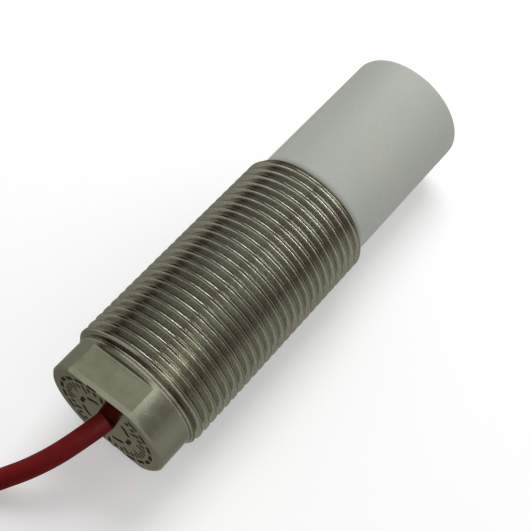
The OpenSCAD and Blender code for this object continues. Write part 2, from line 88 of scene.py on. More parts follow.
# Rings of marks sunk into the rear face: how many, inner and outer radius, and the start and end of
# the first one. Angles are in degrees from +Y. The corners along a mark are at most a step apart, and
# no mark has its middle near the bare angle, above the cable.
MARK_DEPTH = 0.12 * MM
MARK_RINGS = [
    (20, 11.8 * MM, 12.8 * MM, 2, 15),
    (12, 8.5 * MM, 11.1 * MM, 0, 5),
    (12, 9.6 * MM, 11.1 * MM, 10, 15),
    (12, 9.6 * MM, 11.1 * MM, 20, 25),
    (8, 6.0 * MM, 7.1 * MM, 5, 37),
]
MARKS_INNER_R = 5 * MM
MARKS_OUTER_R = 12.8 * MM
MARK_STEP = 3
BARE_ANGLE = 112
BARE_HALF = 16

# Making of the barrel: how far the cutters of its flats reach, what the collar's stock has to spare,
# the length of the threaded rod's end caps, and the gap that a weld closes
CUTTER_REACH = 40 * MM
STOCK_SPARE = 1 * MM
CAP_L = 2 * MM
WELD_GAP = 0.0001 * MM

# Sensing head: a cup with a thick face
HEAD_R = 15 * MM
HEAD_EDGE_R = 0.5 * MM
HEAD_BORE_R = 10.8 * MM
FACE_T = 3.5 * MM

# Points on the arcs of the section of the thread, the flats' fillet, the head's edge and a tie's
# corner
CREST_POINTS = 5
ROOT_POINTS = 4
FILLET_POINTS = 5
HEAD_EDGE_POINTS = 9
TIE_CORNER_POINTS = 9

# Cable, its three leads and their tinned ends, with steps between the points of their lines
CABLE_D = 4.6 * MM
CABLE_SIDES = 16
CABLE_STEP = 1.6 * MM
LEAD_D = 1.3 * MM
LEAD_SIDES = 12
LEAD_STEP = 0.8 * MM
TIN_D = 0.9 * MM
TIN_L = 6 * MM
TIN_RINGS = 14
OUTER_WIRES = 6
WIRE_SIDES = 6

# Cable ties. The corners of small blocks are in millimetres from the middle of the lock's top or of
# the tooth's top.
TIE_T = 0.6 * MM
TIE_W = 4 * MM
TIE_EDGE = 0.15 * MM
TIE_CORNER_R = 2.2 * MM
LOCK_H = 3.6 * MM
LOCK_L = 5 * MM
LOCK_SHIFT = 1.5 * MM
LOCK_SEAT = 0.1 * MM
LOCK_BEVEL = 0.5 * MM
SLOT_CORNERS = ((-1.9, -1.5, -1.2), (1.9, 1.5, 1))
PAWL_CORNERS = ((-1.5, -0.9, -1.3), (1.5, 0.7, -0.4))
PAWL_BEVEL = 0.25 * MM
TAIL_L = 1.2 * MM
TAIL_ROOT_L = 0.2 * MM
TAIL_BEVEL = 0.12 * MM
TEETH = 3
FIRST_TOOTH = 0.25 * MM
TOOTH_PITCH = 0.35 * MM
TOOTH_PROUD = 0.1 * MM
TOOTH_CORNERS = ((-1.3, -0.1, -0.2), (1.3, 0.1, 0))
TOOTH_BEVEL = 0.03 * MM

# Edges where the surface turns by more than these angles, in degrees, are shaded sharp
BARREL_SHARP = 24
TIE_SHARP = 40

# Camera: seen from above and behind, as in the photograph
CAMERA_PLACE = (-0.11002, -0.08744, 0.22885)
CAMERA_BACK = (-0.42241, -0.33885, 0.84069)
CAMERA_LENS = 75.76

# Cable route: its first stretch, from the rear face down to the surface and on to the hank
CABLE_ROUTE = [
    (-0.054, 0, 0.01662),
    (-0.056, 0.0004, 0.0165),
    (-0.059, 0.0015, 0.0155),
    (-0.062, 0.0029, 0.014),
    (-0.065, 0.0046, 0.0122),
    (-0.068, 0.0068, 0.010),
    (-0.071, 0.0094, 0.0076),
    (-0.074, 0.0122, 0.0055),
    (-0.0775, 0.0149, 0.0039),
    (-0.082, 0.0172, 0.0028),
    (-0.087, 0.0183, 0.0023),
    (-0.092, 0.0186, 0.0023),
    (-0.097, 0.0185, 0.0025),
    (-0.103, 0.0184, 0.0029),
    (-0.1092, 0.0184, 0.0029),
]
# Its free end, which lies inside the hank
CABLE_END_ROUTE = [
    (-0.110, 0.0138, 0.0029),
    (-0.115, 0.0138, 0.0029),
    (-0.121, 0.0138, 0.0029),
    (-0.126, 0.0127, 0.0027),
    (-0.131, 0.0106, 0.0024),
    (-0.135, 0.0089, 0.0023),
    (-0.139, 0.008, 0.0023),
    (-0.142, 0.008, 0.0023),
]
LEAD_ROUTES = {
    "brown": [
        (-0.142, 0.008, 0.0034), (-0.145, 0.0078, 0.0032), (-0.149, 0.0072, 0.0018),
        (-0.153, 0.0068, 0.0008), (-0.158, 0.0066, 0.00065), (-0.164, 0.0066, 0.00065),
    ],
    "black": [
        (-0.142, 0.007, 0.0017), (-0.145, 0.0064, 0.0014), (-0.149, 0.005, 0.0009),
        (-0.153, 0.0036, 0.00065), (-0.158, 0.0026, 0.00065), (-0.164, 0.0026, 0.00065),
    ],
    "blue": [
        (-0.142, 0.009, 0.0017), (-0.145, 0.009, 0.0014), (-0.149, 0.0092, 0.0009),
        (-0.153, 0.0094, 0.00065), (-0.158, 0.0094, 0.00065), (-0.163, 0.0094, 0.00065),
    ],
}
# Hank: an oval winding of two columns of cable
HANK_NEAR_X = -0.1087
HANK_FAR_X = -0.1647
HANK_LAYERS = 5
OUTER_TURN_R = 0.0184
INNER_TURN_R = 0.0138
FIRST_LAYER_Z = 0.0029
# Share of an end turn within which the cable climbs to the next layer
CLIMB_SHARE = 0.85


def add_object(name, data):
    made = bpy.data.objects.new(name, data)
    bpy.context.scene.collection.objects.link(made)
    return made


def point(thing, back):
    """Turn a camera or a lamp so that a direction lies straight behind it."""
    thing.rotation_mode = "QUATERNION"
    thing.rotation_quaternion = Vector(back).to_track_quat("Z", "Y")


def make_camera():
    data = bpy.data.cameras.new("camera")
    data.lens = CAMERA_LENS
    data.sensor_width = 36
    data.clip_start = 0.01
    camera = add_object("camera", data)
    camera.location = CAMERA_PLACE
    point(camera, CAMERA_BACK)
    bpy.context.scene.camera = camera


# Lines of points
def smooth_line(points, step):
    """Points about one step apart on a smooth curve through the given points."""
    p = np.array(points, float)
    p = np.vstack([2 * p[0] - p[1], p, 2 * p[-1] - p[-2]])
    line = []
    for a, b, c, d in zip(p[:-3], p[1:-2], p[2:-1], p[3:]):
        gaps = [max(np.linalg.norm(v - u), 1e-6) ** 0.5 for u, v in ((a, b), (b, c), (c, d))]
        near = (b - a) / gaps[0] - (c - a) / (gaps[0] + gaps[1]) + (c - b) / gaps[1]
        far = (c - b) / gaps[1] - (d - b) / (gaps[1] + gaps[2]) + (d - c) / gaps[2]
        near, far = near * gaps[1], far * gaps[1]
        count = max(1, round(np.linalg.norm(c - b) / step))
        for t in np.arange(count) / count:
            line.append(
                (2 * t**3 - 3 * t**2 + 1) * b + (t**3 - 2 * t**2 + t) * near
                + (-2 * t**3 + 3 * t**2) * c + (t**3 - t**2) * far
            )
    line.append(p[-2])
    return np.array(line)


def layer_z(layer):
    return FIRST_LAYER_Z + layer * CABLE_D


def ease(t):
    """A soft start and end between 0 and 1."""
    t = min(max(t, 0), 1)
    return t * t * (3 - 2 * t)


def straight(side, start_x, end_x, r0, r1, layer, step):
    """One long side of the hank. side is 1 on the +Y side, and the radius goes from r0 to r1."""
    count = max(2, round(abs(end_x - start_x) / step))
    return [
        (start_x + (end_x - start_x) * t, side * (r0 + (r1 - r0) * ease(t)), layer_z(layer))
        for t in np.arange(count) / count
    ]


def half_turn(centre_x, start_angle, r, layer, rise, step):
    """One end of the hank, turning counterclockwise and changing layer by rise before it ends."""
    count = round(math.pi * r / step)
    return [
        (
            centre_x + r * math.cos(start_angle + math.pi * t),
            r * math.sin(start_angle + math.pi * t),
            layer_z(layer + rise * ease(t / CLIMB_SHARE)),
        )
        for t in np.arange(count) / count
    ]


def hank_line(step):
    """Centreline of the turns: the outer column upwards, then the inner column downwards."""
    points = []
    near, far = HANK_NEAR_X, HANK_FAR_X
    outer, inner = OUTER_TURN_R, INNER_TURN_R
    top = HANK_LAYERS - 1
    for layer in range(HANK_LAYERS):
        start_x = CABLE_ROUTE[-1][0] if layer == 0 else near
        after_r, rise = (inner, 0) if layer == top else (outer, 1)
        points += straight(1, start_x, far, outer, outer, layer, step)
        points += half_turn(far, math.pi / 2, outer, layer, 0, step)
        points += straight(-1, far, near, outer, after_r, layer, step)
        points += half_turn(near, -math.pi / 2, after_r, layer, rise, step)
    for layer in range(top, 0, -1):
        points += straight(1, near, far, inner, inner, layer, step)
        points += half_turn(far, math.pi / 2, inner, layer, -1, step)
        points += straight(-1, far, near, inner, inner, layer - 1, step)
        points += half_turn(near, -math.pi / 2, inner, layer - 1, 0, step)
    return np.array(points)


# Materials
BLACK = (0, 0, 0)
WHITE = (1, 1, 1)
METAL = (0.262, 0.26, 0.205)
METAL_DARK = (0.17, 0.155, 0.11)
# Thread: flanks lighter than the crests as painted light, crest edges polished and lighter as a painted
# highlight, root darker as painted shade
LIT_FLANK_METAL = (0.56, 0.555, 0.485)
PAINTED_ROOT_SHADE = (0.24, 0.23, 0.17)
LIT_EDGE_METAL = (0.5, 0.495, 0.46)
MILLED = (0.236, 0.241, 0.175)
MILLED_LIGHT = (0.277, 0.283, 0.208)
# Rear face: darker than the barrel's other metal as painted shade
SHADED_FACE_METAL = (0.125, 0.112, 0.045)
FACE_DARK = (0.07, 0.058, 0.02)
GRAZING_TINT = (0.84, 0.84, 0.79)
FACE_TINT = (0.94, 0.92, 0.84)
LEAD_COLORS = {
    "brown": ((0.05, 0.018, 0.006), (0.075, 0.028, 0.01)),
    "black": ((0.008, 0.008, 0.008), (0.016, 0.016, 0.017)),
    "blue": ((0.006, 0.03, 0.16), (0.01, 0.045, 0.22)),
}
# Heights in the thread, 0 at its root and 1 at its crest: the polished edge of the crest, lighter as a
# painted highlight, starts, is whole, fades and ends
EDGE_START, EDGE_WHOLE, EDGE_FADE, EDGE_END = 0.955, 0.972, 0.992, 0.997
# Turned rings on the run-in, and the length of the painted shadow on the head beside the barrel's mouth
RING_SPACING = 0.45 * MM
MOUTH_SHADE_L = 1.6 * MM


def feed(tree, node, values):
    """Give a node's inputs numbers, colours, vectors or the outputs of other nodes."""
    for name, value in values.items():
        socket = node.inputs[name]
        if isinstance(value, bpy.types.NodeSocket):
            tree.links.new(value, socket)
        elif socket.type == "RGBA":
            socket.default_value = (*value, 1)
        else:
            socket.default_value = value


def add_node(tree, kind, values=None, **settings):
    """A new node with its settings made and its inputs fed."""
    node = tree.nodes.new("ShaderNode" + kind)
    for name, value in settings.items():
        setattr(node, name, value)
    feed(tree, node, values or {})
    return node


def new_material(name, color, roughness, metallic=0.0, values=None):
    """A material, its node tree and its shader. The values are for other inputs of the shader."""
    made = bpy.data.materials.new(name)
    made.use_nodes = True
    tree = made.node_tree
    shader = next(n for n in tree.nodes if n.type == "BSDF_PRINCIPLED")
    feed(tree, shader, {"Base Color": color, "Roughness": roughness, "Metallic": metallic})
    feed(tree, shader, values or {})
    return made, tree, shader


def finish_shader(tree, shader, color, roughness, relief, depth):
    """Give a shader its colour and roughness, and fine relief of a depth in metres."""
    bump = add_node(tree, "Bump", {"Height": relief, "Distance": depth})
    feed(tree, shader, {"Base Color": color, "Roughness": roughness, "Normal": bump.outputs["Normal"]})


def own_place(tree):
    """The surface's own coordinates in metres."""
    return add_node(tree, "TexCoord").outputs["Object"]


def noise(tree, scale, stretch=(1, 1, 1), detail=3):
    mapping = add_node(tree, "Mapping", {"Vector": own_place(tree), "Scale": stretch})
    values = {"Vector": mapping.outputs["Vector"], "Scale": scale, "Detail": detail}
    return add_node(tree, "TexNoise", values).outputs["Fac"]


def ramp(tree, factor, stops):
    """Colours at positions along a factor."""
    node = add_node(tree, "ValToRGB", {"Fac": factor})
    band = node.color_ramp
    while len(band.elements) < len(stops):
        band.elements.new(0.5)
    for element, (position, color) in zip(band.elements, stops):
        element.position = position
        element.color = (*color, 1)
    return node.outputs["Color"]


def rescale(tree, factor, low, high, start=0.3, end=0.7):
    """A factor between start and end turned into a value between low and high."""
    values = {"Value": factor, "From Min": start, "From Max": end, "To Min": low, "To Max": high}
    return add_node(tree, "MapRange", values).outputs["Result"]


def mix(tree, factor, a, b, blend="MIX"):
    """Two colours mixed by a factor. They are inputs 6 and 7 of the node, and output 2."""
    return add_node(tree, "Mix", {0: factor, 6: a, 7: b}, data_type="RGBA", blend_type=blend).outputs[2]


def multiply(tree, a, b, factor=1.0):
    """A colour multiplied by another, fully or in part."""
    return mix(tree, factor, a, b, "MULTIPLY")


def calculate(tree, operation, *values):
    """One sum on numbers or on the outputs of other nodes."""
    return add_node(tree, "Math", dict(enumerate(values)), operation=operation).outputs[0]


def place_from_axis(tree):
    """The surface's place in metres, with the axis of the barrel at a height of 0."""
    values = {0: own_place(tree), 1: (0, 0, AXIS_Z)}
    return add_node(tree, "VectorMath", values, operation="SUBTRACT").outputs["Vector"]


def radius_from_axis(tree):
    """Distance of the surface from the axis of the barrel, in metres."""
    across = add_node(tree, "VectorMath", {0: place_from_axis(tree), 1: (0, 1, 1)}, operation="MULTIPLY")
    return add_node(tree, "VectorMath", {0: across.outputs["Vector"]}, operation="LENGTH").outputs["Value"]


def along(tree, axis, start, end):
    """0 before one place along X, Y or Z and 1 after another."""
    parts = add_node(tree, "SeparateXYZ", {0: own_place(tree)})
    return rescale(tree, parts.outputs[axis], 0, 1, start, end)


def fine_rings(tree, radius, spacing):
    """Rings round the barrel, one for each spacing away from its axis."""
    wave = calculate(tree, "SINE", calculate(tree, "MULTIPLY", radius, 2 * math.pi / spacing))
    return rescale(tree, wave, 0, 1, -1, 1)


def thread_metal():
    """Grainy flanks between polished crest edges, with painted shade in the roots, painted light on the
    flanks and a painted highlight on the edges, and ringed on the run-in.
    """
    made, tree, shader = new_material("thread_metal", METAL, 0.14, 1.0, {"Specular Tint": GRAZING_TINT})
    radius = radius_from_axis(tree)
    height = rescale(tree, radius, 0, 1, THREAD_R - THREAD_DEPTH, THREAD_R)
    # Painted shade in the root, painted light on the flanks and a painted highlight on the crest edges
    cut = ramp(tree, height, [
        (0.0, PAINTED_ROOT_SHADE), (0.14, LIT_FLANK_METAL), (EDGE_START, LIT_FLANK_METAL),
        (EDGE_WHOLE, LIT_EDGE_METAL), (EDGE_FADE, LIT_EDGE_METAL), (EDGE_END, METAL),
    ])
    polished = ramp(tree, height, [
        (EDGE_START, BLACK), (EDGE_WHOLE, WHITE), (EDGE_FADE, WHITE), (EDGE_END, BLACK),
    ])
    grain = ramp(tree, noise(tree, 3400, detail=2), [(0.36, (0.6, 0.6, 0.57)), (0.64, (0.95, 0.95, 0.95))])
    spots = noise(tree, 90, (1, 0.5, 0.5))
    stain = ramp(tree, spots, [(0.3, (0.86, 0.84, 0.81)), (0.7, (0.99, 0.99, 0.99))])
    threaded = multiply(tree, cut, mix(tree, polished, multiply(tree, grain, stain), WHITE))
    lines = fine_rings(tree, radius, RING_SPACING)
    rings = ramp(tree, lines, [(0.3, (0.38, 0.37, 0.32)), (0.9, (0.92, 0.92, 0.87))])
    run_in_end = THREAD_START_X + RUN_IN_L
    past_run_in = along(tree, "X", run_in_end - 0.1 * MM, run_in_end + 0.05 * MM)
    color = mix(tree, past_run_in, multiply(tree, threaded, rings), threaded)
    gloss = ramp(tree, height, [(0.9, (0.19, 0.19, 0.19)), (0.95, (0.12, 0.12, 0.12))])
    roughness = calculate(tree, "MULTIPLY", gloss, rescale(tree, noise(tree, 900), 0.9, 1.3))
    finish_shader(tree, shader, color, roughness, noise(tree, 4500, detail=1), 0.0012 * MM)
    return made


def turned_metal():
    """Satin metal, faintly stained and flecked."""
    made, tree, shader = new_material("turned_metal", METAL, 0.26, 1.0, {"Specular Tint": GRAZING_TINT})
    stain = ramp(tree, noise(tree, 120), [(0.3, METAL_DARK), (0.75, METAL)])
    flecks = ramp(tree, noise(tree, 2600, detail=1), [(0.64, WHITE), (0.72, (1.2, 1.2, 1.17))])
    color = multiply(tree, mix(tree, 0.3, METAL, stain), flecks)
    roughness = rescale(tree, noise(tree, 400), 0.2, 0.3)
    finish_shader(tree, shader, color, roughness, noise(tree, 6000, (1, 0.04, 0.04)), 0.004 * MM)
    return made


def milled_metal():
    """Dull metal of the spanner flats, with a painted highlight on their chamfer."""
    made, tree, shader = new_material("milled_metal", MILLED, 0.4, 1.0)
    stain = ramp(tree, noise(tree, 170, (1, 0.5, 1)), [(0.3, MILLED), (0.7, MILLED_LIGHT)])
    grain = ramp(tree, noise(tree, 1500), [(0.3, (0.93, 0.93, 0.92)), (0.7, WHITE)])
    # Painted highlight: the chamfer at the flats' rear edge is made lighter
    past_chamfer = along(tree, "X", REAR_X + 0.8 * FLAT_CHAMFER_L, REAR_X + 1.2 * FLAT_CHAMFER_L)
    edge = ramp(tree, past_chamfer, [(0.0, (1.16, 1.16, 1.16)), (1.0, WHITE)])
    color = multiply(tree, multiply(tree, stain, grain), edge)
    roughness = rescale(tree, noise(tree, 500), 0.38, 0.5)
    finish_shader(tree, shader, color, roughness, noise(tree, 4000, (1, 0.06, 1)), 0.004 * MM)
    return made


def face_metal():
    """Smooth metal of the rear face, its base colour darker than the barrel's other metal as painted
    shade.
    """
    made, tree, shader = new_material("face_metal", SHADED_FACE_METAL, 0.2, 1.0, {"Specular Tint": FACE_TINT})
    color = ramp(tree, noise(tree, 220), [(0.3, FACE_DARK), (0.7, SHADED_FACE_METAL)])
    roughness = rescale(tree, noise(tree, 700), 0.1, 0.2)
    finish_shader(tree, shader, color, roughness, noise(tree, 2500), 0.002 * MM)
    return made


def mark_metal():
    """Dark bottom of the marks."""
    values = {"Specular IOR Level": 0.1}
    made, tree, shader = new_material("mark_metal", (0.03, 0.025, 0.018), 0.75, values=values)
    color = ramp(tree, noise(tree, 1500), [(0.3, (0.014, 0.011, 0.007)), (0.7, (0.04, 0.033, 0.022))])
    finish_shader(tree, shader, color, 0.75, noise(tree, 4000), 0.02 * MM)
    return made


def head_plastic():
    """White plastic, with a painted shadow beside the barrel's mouth."""
    made, tree, shader = new_material("head_plastic", (0.42, 0.43, 0.39), 0.5, values={
        "Subsurface Weight": 0.15, "Subsurface Radius": (1.0, 0.9, 0.8), "Subsurface Scale": 1.5 * MM,
    })
    cloud = ramp(tree, noise(tree, 60), [(0.3, (0.405, 0.43, 0.388)), (0.7, (0.44, 0.455, 0.403))])
    grain = ramp(tree, noise(tree, 1400, detail=2), [(0.35, (0.94, 0.94, 0.94)), (0.65, WHITE)])
    from_mouth = along(tree, "X", MOUTH_X, MOUTH_X + MOUTH_SHADE_L)
    # Painted shadow: the head is darker towards the barrel's mouth, where the barrel shades it
    mouth_shadow = ramp(tree, from_mouth, [(0.1, (0.4, 0.4, 0.36)), (0.35, (0.72, 0.72, 0.7)), (1.0, WHITE)])
    color = multiply(tree, multiply(tree, cloud, grain, 0.8), mouth_shadow)
    roughness = rescale(tree, noise(tree, 900), 0.45, 0.6)
    finish_shader(tree, shader, color, roughness, noise(tree, 5000, (1, 0.05, 0.05)), 0.006 * MM)
    return made


def cable_sheath():
    """Dark red sheath with a few pale specks."""
    values = {"Specular IOR Level": 0.03}
    made, tree, shader = new_material("cable_sheath", (0.18, 0.012, 0.0125), 0.45, values=values)
    shade = ramp(tree, noise(tree, 500), [(0.3, (0.164, 0.0108, 0.0112)), (0.7, (0.199, 0.0132, 0.014))])
    specks = ramp(tree, noise(tree, 1800, detail=1), [(0.78, BLACK), (0.84, WHITE)])
    color = mix(tree, specks, shade, (0.22, 0.09, 0.07))
    roughness = rescale(tree, noise(tree, 800), 0.42, 0.56)
    finish_shader(tree, shader, color, roughness, noise(tree, 2500), 0.01 * MM)
    return made


def mottled(name, dark, light, roughness, metallic=0.0, scale=800, relief=0.006, stretch=(1, 1, 1)):
    """A surface with fine mottling, uneven gloss and light relief of a depth in millimetres."""
    made, tree, shader = new_material(name, light, roughness, metallic)
    color = ramp(tree, noise(tree, scale, stretch), [(0.3, dark), (0.7, light)])
    gloss = rescale(tree, noise(tree, 1.7 * scale), 0.85 * roughness, min(1, 1.15 * roughness))
    finish_shader(tree, shader, color, gloss, noise(tree, 3 * scale, stretch), relief * MM)
    return made


def board_material():
    """Green solder mask over a grid of narrow tracks."""
    made, tree, shader = new_material("board", (0.015, 0.13, 0.05), 0.4)
    tracks = add_node(tree, "TexBrick", {
        "Vector": own_place(tree), "Scale": 350, "Mortar Size": 0.03, "Mortar": (0.03, 0.2, 0.08),
        "Color1": (0.012, 0.12, 0.045), "Color2": (0.016, 0.14, 0.055),
    }).outputs
    finish_shader(tree, shader, tracks["Color"], 0.4, tracks["Fac"], 0.02 * MM)
    return made


# Meshes
def reshape(mesh, change):
    """Apply a change to a mesh. It is a function of the mesh in its editable form."""
    made = bmesh.new()
    made.from_mesh(mesh)
    change(made)
    made.to_mesh(mesh)
    made.free()


def mesh_from(name, points, faces):
    """A smooth-shaded mesh whose faces all look to the same side."""
    mesh = bpy.data.meshes.new(name)
    mesh.from_pydata([tuple(p) for p in points], [], faces)
    mesh.validate()
    reshape(mesh, lambda made: bmesh.ops.recalc_face_normals(made, faces=made.faces))
    mesh.shade_smooth()
    return mesh


def gather(shapes):
    """Points and faces of several shapes, as those of one."""
    points, faces = [], []
    for more_points, more_faces in shapes:
        faces += [tuple(i + len(points) for i in face) for face in more_faces]
        points += more_points
    return points, faces


def weld(mesh, gap):
    """Vertices closer than the gap become one, which clears the slivers that the cuts leave."""
    reshape(mesh, lambda made: bmesh.ops.remove_doubles(made, verts=made.verts[:], dist=gap))


def sharpen(mesh, angle):
    """Smooth shading with hard edges where the surface turns by more than an angle in degrees."""
    mesh.shade_smooth()
    mesh.set_sharp_from_angle(angle=math.radians(angle))


def link(name, data, *materials):
    """A new piece of the sensor, riding on its one body."""
    piece = add_object(name, data)
    for made in materials:
        data.materials.append(made)
    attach(piece, ROOT)
    return piece


def round_curve(name, line, diameter, material, sides):
    """A round cord along a line of points, with closed ends, that never dips below the surface."""
    line = np.array(line)
    line[:, 2] = np.maximum(line[:, 2], diameter / 2)
    data = bpy.data.curves.new(name, "CURVE")
    data.dimensions = "3D"
    data.bevel_depth = diameter / 2
    data.bevel_resolution = sides // 2 - 2
    data.use_fill_caps = True
    spline = data.splines.new("POLY")
    spline.points.add(len(line) - 1)
    weighted = np.concatenate([line, np.ones((len(line), 1))], axis=1)
    spline.points.foreach_set("co", weighted.astype(np.float32).ravel())
    spline.use_smooth = True
    return link(name, data, material)


def arc(centre, r, start, stop, count):
    """Points on an arc in the plane of (x, radius), angles in degrees from +x towards +radius."""
    angles = np.radians(np.linspace(start, stop, count))
    return [(centre[0] + r * math.cos(a), centre[1] + r * math.sin(a)) for a in angles]


def revolve(name, profile):
    """Closed ring or solid turned about the barrel's axis from points (x, radius) round its section."""
    steps = TURN_STEPS
    angles = 2 * math.pi * np.arange(steps) / steps
    points, rows = [], []
    for x, r in profile:
        if r == 0:
            rows.append([len(points)] * steps)
            points.append((x, 0, AXIS_Z))
        else:
            rows.append(list(range(len(points), len(points) + steps)))
            points += [(x, r * math.cos(a), AXIS_Z + r * math.sin(a)) for a in angles]
    faces = []
    for row, after in zip(rows, rows[1:] + rows[:1]):
        for k in range(steps):
            corners = [row[k], row[(k + 1) % steps], after[(k + 1) % steps], after[k]]
            corners = list(dict.fromkeys(corners))
            if len(corners) > 2:
                faces.append(corners)
    return mesh_from(name, points, faces)


def thread_section():
    """Section of one thread from crest centre to crest centre, as (distance along the axis, radius)."""
    slope = math.tan(FLANK_ANGLE)
    lean = math.degrees(FLANK_ANGLE)
    reach = math.tan((math.pi / 2 - FLANK_ANGLE) / 2)
    front, rear = (
        arc((CREST_HALF - r * reach, THREAD_R - r), r, 90, lean, CREST_POINTS)
        for r in (CREST_FRONT_R, CREST_REAR_R)
    )
    apex_gap = (PITCH / 2 - CREST_HALF) / slope - THREAD_DEPTH
    root_arc_r = apex_gap / (1 / math.sin(FLANK_ANGLE) - 1)
    root_centre = (PITCH / 2, THREAD_R - THREAD_DEPTH + root_arc_r)
    root = arc(root_centre, root_arc_r, 180 + lean, 270, ROOT_POINTS)
    root += [(PITCH - x, r) for x, r in reversed(root[:-1])]
    return [(0, THREAD_R)] + front + root + [(PITCH - x, r) for x, r in reversed(rear)]


def threaded_rod(name, start_x, end_x):
    """Right-handed helical rod that reaches past both ends, each closed by a pointed cap."""
    section = thread_section()
    rows_per_turn = len(section)
    first = math.floor((start_x - CREST_X) / PITCH) - 1
    turns = math.ceil((end_x - start_x) / PITCH) + 3
    rows = [(CREST_X + (first + turn) * PITCH + x, r) for turn in range(turns) for x, r in section]
    points = []
    for x, r in rows:
        for k in range(TURN_STEPS):
            share = k / TURN_STEPS
            angle = math.pi / 2 + 2 * math.pi * share
            points.append((x + PITCH * share, r * math.cos(angle), AXIS_Z + r * math.sin(angle)))

    def vertex(row, column):
        """Index of a point. After a whole turn, a row goes on as the row that is one pitch further."""
        if column == TURN_STEPS:
            return (row + rows_per_turn) * TURN_STEPS
        return row * TURN_STEPS + column

    faces = []
    last = len(rows) - rows_per_turn - 1
    for row in range(last):
        for k in range(TURN_STEPS):
            faces.append([vertex(row, k), vertex(row, k + 1), vertex(row + 1, k + 1), vertex(row + 1, k)])
    for row, cap_x in ((0, rows[0][0] - CAP_L), (last, rows[last][0] + PITCH + CAP_L)):
        centre = len(points)
        points.append((cap_x, 0, AXIS_Z))
        rim = [vertex(row, k) for k in range(TURN_STEPS)]
        rim += [(row + m) * TURN_STEPS for m in range(rows_per_turn, 0, -1)]
        for a, b in zip(rim, rim[1:] + rim[:1]):
            faces.append([centre, a, b])
    return mesh_from(name, points, faces)


def block(name, low, high):
    (x0, y0, z0), (x1, y1, z1) = low, high
    points = [(x, y, z) for x in (x0, x1) for y in (y0, y1) for z in (z0, z1)]
    faces = [(0, 1, 3, 2), (4, 6, 7, 5), (0, 4, 5, 1), (2, 3, 7, 6), (0, 2, 6, 4), (1, 5, 7, 3)]
    return mesh_from(name, points, faces)


def flat_cutter(side):
    """What is milled off for one spanner flat, with a chamfer at its rear edge and a fillet at its end."""
    end_x = REAR_X + FLATS_L
    fillet_centre = (end_x - FLAT_FILLET, FLAT_H + FLAT_FILLET)
    section = [
        (REAR_X - FLAT_CHAMFER_L, CUTTER_REACH),
        (REAR_X - FLAT_CHAMFER_L, FLAT_H - 2 * FLAT_CHAMFER_H),
        (REAR_X + FLAT_CHAMFER_L, FLAT_H),
        *arc(fillet_centre, FLAT_FILLET, 270, 360, FILLET_POINTS),
        (end_x, CUTTER_REACH),
    ]
    points = [(x, y, AXIS_Z + side * h) for y in (-CUTTER_REACH, CUTTER_REACH) for x, h in section]
    count = len(section)
    faces = [tuple(range(count)), tuple(reversed(range(count, 2 * count)))]
    for k in range(count):
        m = (k + 1) % count
        faces.append((k, m, count + m, count + k))
    return mesh_from("flat", points, faces)


def ring_mark(r0, r1, start, stop):
    """Closed sector between two radii, half of it sunk into the rear face, as points and faces."""
    count = math.ceil((stop - start) / MARK_STEP) + 1
    points, faces = [], []
    for a in np.radians(np.linspace(start, stop, count)):
        for x in (REAR_X - MARK_DEPTH, REAR_X + MARK_DEPTH):
            for r in (r0, r1):
                points.append((x, r * math.cos(a), AXIS_Z + r * math.sin(a)))
    for at in range(0, 4 * (count - 1), 4):
        for a, b in ((0, 1), (1, 3), (3, 2), (2, 0)):
            faces.append((at + a, at + b, at + 4 + b, at + 4 + a))
    end = 4 * (count - 1)
    faces += [(0, 1, 3, 2), (end, end + 2, end + 3, end + 1)]
    return points, faces


def face_marks():
    """Generic rings of dashes and ticks for the rear face, with a bare patch above the cable."""
    marks = []
    for count, r0, r1, start, stop in MARK_RINGS:
        for turned in np.arange(count) * 360 / count:
            if abs((start + stop) / 2 + turned - BARE_ANGLE) >= BARE_HALF:
                marks.append(ring_mark(r0, r1, start + turned, stop + turned))
    return mesh_from("marks", *gather(marks))


def combine(mesh, cutters):
    """The mesh after each (operation, cutter) in turn; the helpers are removed."""
    holder = add_object("combining", mesh)
    helpers = [add_object("cutting", cutter) for _, cutter in cutters]
    for (operation, _), helper in zip(cutters, helpers):
        modifier = holder.modifiers.new("boolean", "BOOLEAN")
        modifier.operation = operation
        modifier.solver = "MANIFOLD"
        modifier.object = helper
    bpy.context.view_layer.update()
    shown = holder.evaluated_get(bpy.context.evaluated_depsgraph_get())
    result = bpy.data.meshes.new_from_object(shown)
    for helper in [*helpers, holder]:
        bpy.data.objects.remove(helper)
    return result


def barrel_mesh():
    """Threaded barrel: a helical rod cut to the turned blank, then the flats and the marks."""
    blank = revolve("blank", [
        (REAR_X, CABLE_HOLE_R),
        (REAR_X, COLLAR_R - COLLAR_CHAMFER),
        (REAR_X + COLLAR_CHAMFER, COLLAR_R),
        (THREAD_START_X, COLLAR_R),
        (THREAD_START_X + RUN_IN_L, THREAD_R),
        (MOUTH_X - RUN_OUT_L, THREAD_R),
        (MOUTH_X, MOUTH_R),
        (MOUTH_X, BORE_R + BORE_LEAD_IN),
        (MOUTH_X - BORE_LEAD_IN, BORE_R),
        (STEP_X, BORE_R),
        (STEP_X, CHAMBER_R),
        (WALL_X, CHAMBER_R),
        (WALL_X, CABLE_HOLE_R),
    ])
    rod = threaded_rod("rod", THREAD_START_X, MOUTH_X)
    collar = revolve("collar", [
        (REAR_X - STOCK_SPARE, 0),
        (REAR_X - STOCK_SPARE, COLLAR_R + STOCK_SPARE),
        (THREAD_START_X, COLLAR_R + STOCK_SPARE),
        (THREAD_START_X, 0),
    ])
    stock = combine(rod, [("UNION", collar)])
    cuts = [flat_cutter(-1), flat_cutter(1), face_marks()]
    mesh = combine(stock, [("INTERSECT", blank)] + [("DIFFERENCE", cut) for cut in cuts])
    weld(mesh, WELD_GAP)
    return mesh


